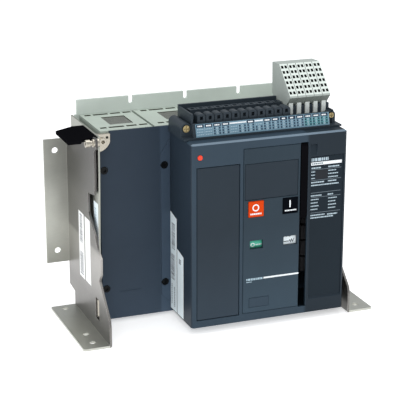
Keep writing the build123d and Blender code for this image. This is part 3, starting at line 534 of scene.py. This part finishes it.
def make_flag_marks():
    open_side, closed_side = drum(0), drum(90)
    add_print("open_ring", ring(30.2, -2.0, 3.2, 2.0), open_side, "ink_white",
              "position_indicator")
    add_print("open_words", dashes(34.6, 43.2, -1.9, 1.7, 12, 0.5, 2.6), open_side, "ink_white",
              "position_indicator")
    patch = [rect(24.5, 43.0, -9 + 2 * i, -7 + 2 * i) for i in range(9)]
    add_print("closed_face", patch, closed_side, "flag_white",
              "position_indicator", 0.05)
    add_print("closed_bar", [rect(29.2, 30.7, -5.5, 1.5)], closed_side, "ink_black",
              "position_indicator", 0.1)
    add_print("closed_words", dashes(34.4, 43.0, -3.2, 1.6, 14, 0.5, 2.6), closed_side, "ink_black",
              "position_indicator", 0.1)
    flag = front(SPRING_FLAG)
    charged_drop = 13.5
    zigzag = [(84.6, 119.2), (86.6, 121.4), (87.6, 117.8), (89.4, 122.2), (90.8, 118.4),
              (93.0, 122.8)]
    torn = [(74.8, 129.5), (74.8, 126.9), (77.2, 126.2), (79.4, 127.1), (81.0, 126.1),
            (84.0, 126.8), (86.2, 125.9), (88.4, 127.0), (90.0, 128.2), (92.0, 129.5)]
    add_print("spring_sign", stroke(zigzag, 0.9) + [torn], flag, "ink_black",
              "spring_indicator")
    add_print("spring_words", dashes(77.2, 84.0, 119.6, 1.5, 5, 0.4, 2.2), flag, "ink_black",
              "spring_indicator")
    add_print("charged_face", [rect(75.2, 94.8, 102.2, 115.2)], flag, "flag_yellow",
              "spring_indicator", 0.05)
    charged = stroke([(u, v - charged_drop) for u, v in zigzag], 0.9)
    charged += dashes(77.2, 84.0, 106.1, 1.5, 6, 0.4, 2.2)
    add_print("charged_sign", charged, flag, "ink_black", "spring_indicator", 0.1)


def make_panel_marks():
    add_print("panel_rule", [rect(44.9, 98.4, 70.6, 73.0)], front(PANEL), "ink_white")
    words = dashes(19.0, 43.4, 71.6, 3.0, 21, 0.8, 4.2) + dashes(19.0, 27.4, 67.9, 1.2, 22, 0.5, 2.0)
    add_print("panel_words", words, front(PANEL), "ink_pale")


def make_nameplate_marks():
    face = front(NAMEPLATE)
    x0, x1, column = 116.0, 161.8, 141.8
    bar = [rect(x0 - 0.6, 162.4, 227.0, 231.4)]
    add_print("plate_bar", bar, face, "ink_white")
    bar_words = dashes(x0 + 0.4, 133.5, 229.2, 2.0, 33, 0.6, 3.0)
    add_print("plate_bar_words", bar_words, face, "ink_grey", lift=0.1)
    rules = [rect(x0, x1, z - 0.3, z + 0.3) for z in (220.6, 205.3, 187.0, 180.4, 157.8)]
    add_print("plate_rules", rules, face, "ink_grey")
    words = dashes(x0, 142.0, 235.0, 4.4, 31, 1.0, 7.0)
    captions = ((x0, 130.8, 223.0, 1.9), (column, 159.5, 223.2, 1.9),
                (x0, 136.2, 202.2, 1.8), (column, 155.8, 202.4, 1.8),
                (x0, 159.5, 198.0, 1.8), (x0, 132.4, 182.9, 1.8),
                (column, 150.2, 182.9, 1.8), (x0, 137.8, 154.2, 1.8),
                (column, 157.4, 153.6, 1.8), (x0, 151.3, 150.4, 1.8))
    for row, (start, end, z, height) in enumerate(captions):
        words += dashes(start, end, z, height, 40 + row, 0.5, 3.6)
    for row, z in enumerate((217.6, 213.0, 208.2)):
        words += dashes(x0, 121.6, z, 1.5, 60 + row, 0.5, 2.4)
        words += dashes(column, 157.0 - 3 * (row == 0), z, 1.5, 70 + row, 0.5, 3.0)
    for row, z in enumerate((177.2, 172.4, 167.7, 162.9)):
        words += dashes(x0, 129.0 - 2.5 * (row % 2), z, 1.5, 80 + row, 0.5, 2.6)
        words += dashes(column + 1.2, 156.2 - 2 * (row % 2), z, 1.5, 90 + row, 0.5, 2.6)
    add_print("plate_words", words, face, "ink_line")
    add_print("plate_patch", [rect(122.8, 141.0, 206.4, 219.4)], face, "ink_black",
              lift=0.04)


# ---- stuck-on labels ----------------------------------------------------
BRACKET_LABEL, SHEET_LABEL, COVER_LABEL = -181.3, -173.3, -62.3     # x of the outer faces


def bars(start, end, across, seed):
    """A block of print made of slanted bars, as a code seen along a label."""
    chance = random.Random(seed)
    marks = []
    while start < end:
        width = chance.uniform(0.7, 1.9)
        marks.append([(across[0], start), (across[1], start), (across[1], start + width),
                      (across[0], start + width)])
        start += width + chance.uniform(0.6, 1.6)
    return marks


def make_label_marks():
    bracket = left(BRACKET_LABEL)
    code = bars(112, 152, (62.5, 74), 1) + bars(64, 98, (61.5, 76), 2)
    add_print("bracket_code", code, bracket, "ink_label")
    faint = tall_dashes(97.5, 118, 140, 1.6, 5) + tall_dashes(101.5, 96, 130, 1.4, 6)
    add_print("bracket_faint", faint, bracket, "label_blue")
    cover = left(COVER_LABEL)
    blue = [[(109.7, 11.7), (133.9, 11.7), (133.9, 151.8), (109.7, 156.8)],
            [(137.0, 12.2), (160.9, 12.2), (160.9, 103.9), (137.0, 108.8)]]
    add_print("cover_paper", blue, cover, "label_blue", lift=0.04)
    code = bars(104, 141, (115, 128), 8) + bars(58, 96, (112, 126), 9)
    add_print("cover_code", code, cover, "ink_label")
    small = tall_dashes(115, 20, 50, 2.6, 11, 1.0, 3.0) + tall_dashes(126, 18, 48, 3.4, 13, 0.9, 2.4)
    small += bars(90, 95, (144, 152), 15)
    add_print("cover_small", small, cover, "ink_label")
    sheet = left(SHEET_LABEL)
    add_print("sheet_paper", [rect(106.7, 125.6, 112.2, 183.8)], sheet, "label_blue",
              lift=0.04)
    add_print("sheet_code", bars(128, 175, (109, 118), 17), sheet, "ink_pale")


# ---- marking strip ------------------------------------------------------
def make_strip_marks():
    first, pitch, count = -40.6, 12.33, 16
    top, head, foot = 17.5, 13.1, 2.0
    header, white, dark, pale, dividers, teal = [], [], [], [], [], []
    for i in range(count):
        x = first + pitch * i
        merged = i in (4, 5, 7)
        if merged:
            white.append(rect(x - 6.0, x + 6.0, 14.6, 16.4))
        else:
            header.append(rect(x - 5.4, x + 5.4, head, top))
            half = 3.6 if i not in (10, 11) else 2.4
            white += dashes(x - half, x + half, 15.2, 1.9, 100 + i, 0.35, 3.0)
        for row in range(3):
            v = 10.9 - 3.6 * row
            if i in (0, 1, 4) or (i == 7 and row == 0):
                pale += dashes(x - 4.6, x + 4.4, v, 1.3, 130 + 3 * i + row, 0.9, 1.9)
                continue
            dark.append(rect(x - 4.9, x - 2.9, v - 1.1, v + 1.1))
            dark.append(rect(x + 2.7, x + 4.7, v - 1.1, v + 1.1))
            pale += ring(x - 0.1, v, 1.5, 0.7, 14)
        if i >= 13:
            teal.append(rect(x - 5.8, x + 5.8, foot, head - 0.4))
        dividers.append(rect(x + 6.1, x + 6.5, foot, top))
    add_print("strip_heads", header, strip_face, "ink_navy", lift=0.05)
    add_print("strip_teal", teal, strip_face, "ink_teal", lift=0.04)
    add_print("strip_white", white, strip_face, "ink_white", lift=0.09)
    add_print("strip_dark", dark, strip_face, "ink_navy", lift=0.08)
    add_print("strip_pale", pale, strip_face, "ink_pale", lift=0.08)
    add_print("strip_dividers", dividers, strip_face, "ink_pale", lift=0.07)


# ---- arc chute screens --------------------------------------------------
def make_chute_screens():
    """Woven wire over the vent window of each arc chute, over a dark sheet of painted shade."""
    wire, pitch, recess = 0.5, 1.4, 1.5
    window_offset, window_half = 5.3, 16.7
    d0, d1 = 31.3, 74.7
    for number, pole_x in enumerate((-126, -42, 42, 126), start=1):
        x0 = pole_x + window_offset - window_half
        x1 = pole_x + window_offset + window_half
        place = upward(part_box(f"arc_chute_{number}")[1][2] / MM - recess)
        warp = [rect(x0 + pitch * i, x0 + pitch * i + wire, d0, d1)
                for i in range(int((x1 - x0) / pitch) + 1)]
        weft = [rect(x0, x1, d0 + pitch * i, d0 + pitch * i + wire)
                for i in range(int((d1 - d0) / pitch) + 1)]
        # painted shade: a dark sheet under the wire stands for the shade inside the vent window
        add_print(f"screen_shade_{number}", [rect(x0, x1, d0, d1)], place, "window_shade",
                  lift=0.05)
        add_print(f"screen_warp_{number}", warp, place, "wire", lift=0.35)
        add_print(f"screen_weft_{number}", weft, place, "wire", lift=0.55)


make_button_marks()
make_flag_marks()
make_panel_marks()
make_nameplate_marks()
make_label_marks()
make_strip_marks()
make_chute_screens()


# ---- stage: camera, lights, floor ---------------------------------------
def make_camera():
    azimuth, elevation = math.radians(-20.99), math.radians(17.39)
    back = Vector((math.sin(azimuth) * math.cos(elevation),
                   -math.cos(azimuth) * math.cos(elevation),
                   math.sin(elevation)))
    data = bpy.data.cameras.new("camera")
    data.sensor_width = 36.0
    data.lens = 129.99
    data.clip_end = 20
    camera = bpy.data.objects.new("camera", data)
    camera.location = (-0.71706, -1.82562, 0.77945)
    camera.rotation_mode = "QUATERNION"
    camera.rotation_quaternion = (-back).to_track_quat("-Z", "Y")
    bpy.context.scene.collection.objects.link(camera)
    bpy.context.scene.camera = camera


def area_light(name, location, target, size, power):
    data = bpy.data.lights.new(name, "AREA")
    data.shape = "RECTANGLE"
    data.size, data.size_y = size
    data.energy = power
    light = bpy.data.objects.new(name, data)
    light.location = location
    light.rotation_mode = "QUATERNION"
    light.rotation_quaternion = (Vector(target) - Vector(location)).to_track_quat("-Z", "Y")
    bpy.context.scene.collection.objects.link(light)


def floor_material():
    """Pale matt ground, with enough light of its own to read as white far from the lamps."""
    graph = Graph("floor_pale")
    cloud = graph.ramp(graph.noise(1.5), 0.3, 0.7)
    base = graph.mix(cloud, (0.9, 0.9, 0.9), (0.93, 0.93, 0.93))
    graph.link(base, graph.shader.inputs["Base Color"])
    graph.shader.inputs["Roughness"].default_value = 0.7
    graph.shader.inputs["Emission Color"].default_value = (1.0, 1.0, 1.0, 1.0)
    graph.shader.inputs["Emission Strength"].default_value = 0.5
    return graph.material


def make_floor():
    half, gap = 6.0, 0.0002
    mesh = bpy.data.meshes.new("floor")
    mesh.from_pydata([(-half, -half, 0), (half, -half, 0), (half, half, 0), (-half, half, 0)], [],
                     [(0, 1, 2, 3)])
    mesh.materials.append(floor_material())
    floor = bpy.data.objects.new("floor", mesh)
    floor.location.z = -gap
    bpy.context.scene.collection.objects.link(floor)


def make_light():
    world = bpy.data.worlds.new("world")
    world.use_nodes = True
    background = world.node_tree.nodes["Background"]
    background.inputs["Color"].default_value = (0.95, 0.97, 1.0, 1)
    background.inputs["Strength"].default_value = 0.58
    bpy.context.scene.world = world
    bpy.context.scene.view_settings.view_transform = "Standard"
    area_light("key", (-0.9, -1.9, 1.5), (0, 0, 0.15), (1.4, 1.0), 19)
    area_light("top", (0.3, 0.2, 1.9), (0, 0, 0.2), (1.6, 1.6), 17)
    area_light("left", (-2.2, 0.1, 0.7), (-0.1, 0, 0.12), (1.2, 1.2), 9)
    area_light("right", (1.8, -0.9, 0.9), (0, 0, 0.15), (1.0, 1.4), 6)


make_camera()
make_floor()
make_light()
